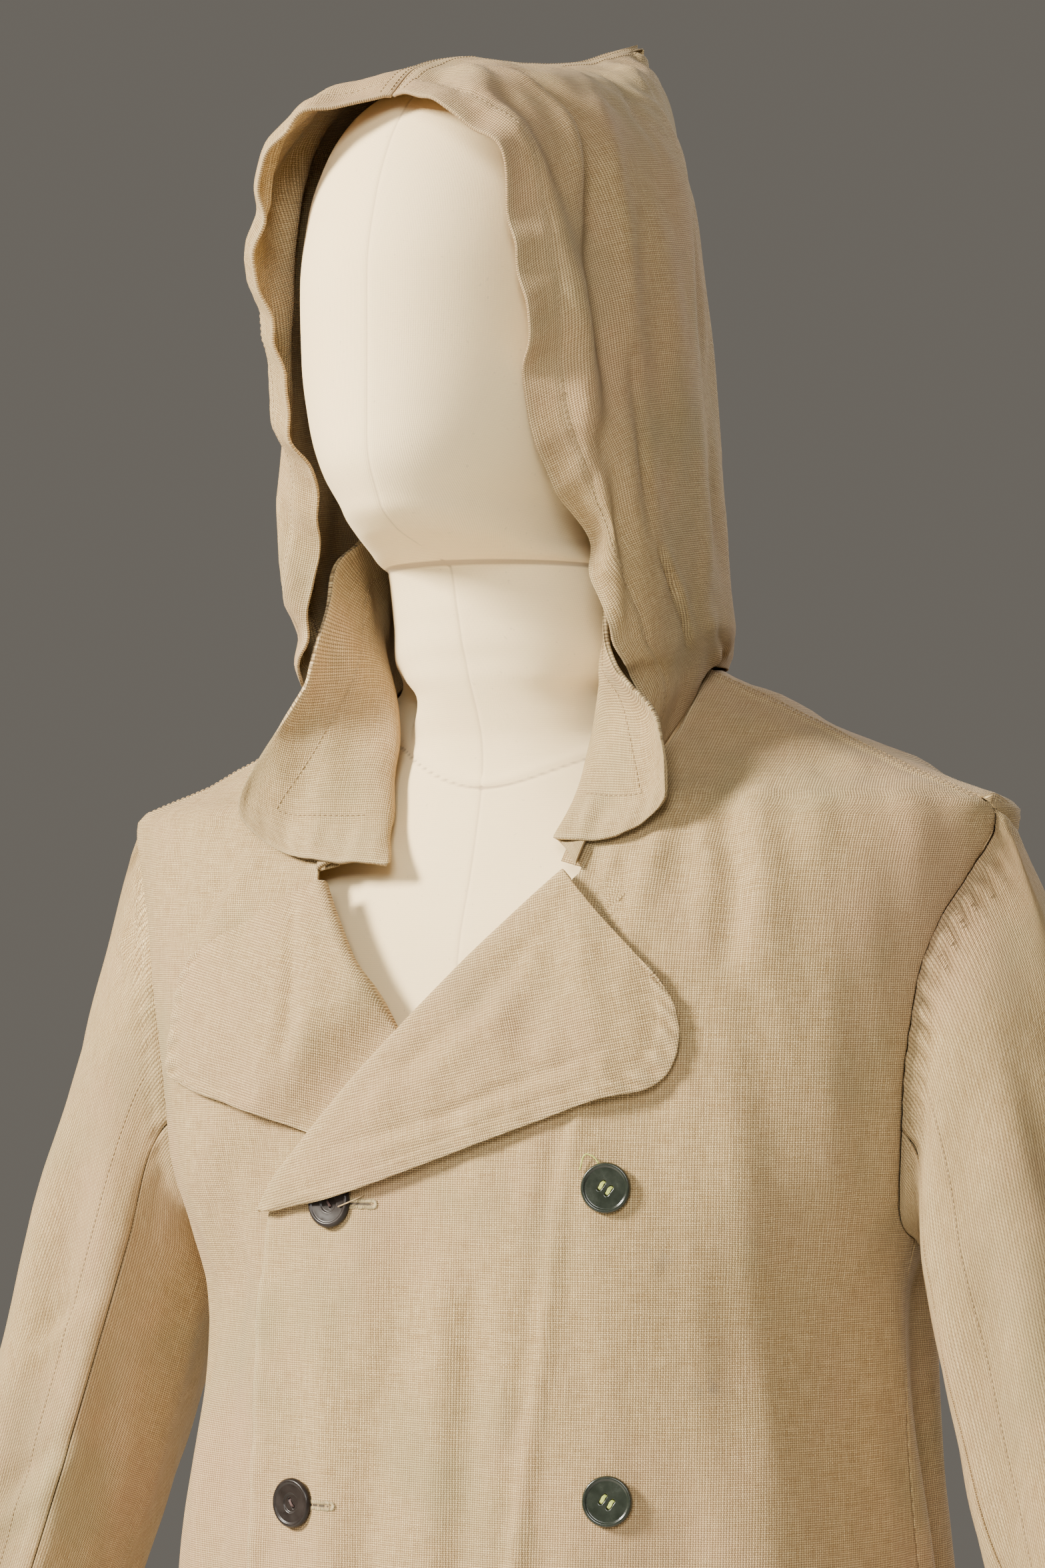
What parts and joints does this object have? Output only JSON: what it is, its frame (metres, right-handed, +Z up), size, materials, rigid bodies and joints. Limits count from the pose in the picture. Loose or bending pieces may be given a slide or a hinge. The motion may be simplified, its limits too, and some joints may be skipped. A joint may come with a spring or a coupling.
{
  "type": "hooded duster coat on a dress form",
  "caption": "Long double-breasted linen duster coat with a pointed hood, turned-back lapels and an open collar, worn by a headed dress form on a plain stand.",
  "frame": {"origin": "centre of the underside of the stand's base, on the floor", "axes": "+Z up along the pole, the coat's front faces -Y and the wearer's left is +X"},
  "size_m": [0.7968, 0.4119, 1.8969],
  "materials": {
    "linen": "coarse undyed plain-weave linen",
    "button_dark": "dark polished horn-like buttons",
    "form_canvas": "fine cream canvas stretched over the form",
    "stand_metal": "dark satin paint"
  },
  "bodies": {
    "root": {"left_front": "linen", "right_front": "linen", "back": "linen", "left_sleeve_top": "linen", "left_sleeve_under": "linen", "right_sleeve_top": "linen", "right_sleeve_under": "linen", "left_lapel": "linen", "right_lapel": "linen", "hood_left": "linen", "hood_right": "linen", "collar": "linen", "dress_form": "form_canvas", "stand_pole": "stand_metal", "stand_base": "stand_metal", "button_left_1": "button_dark", "button_left_2": "button_dark", "button_left_3": "button_dark", "button_left_4": "button_dark", "button_right_1": "button_dark", "button_right_2": "button_dark", "button_right_3": "button_dark", "button_right_4": "button_dark"}
  },
  "joints": []
}
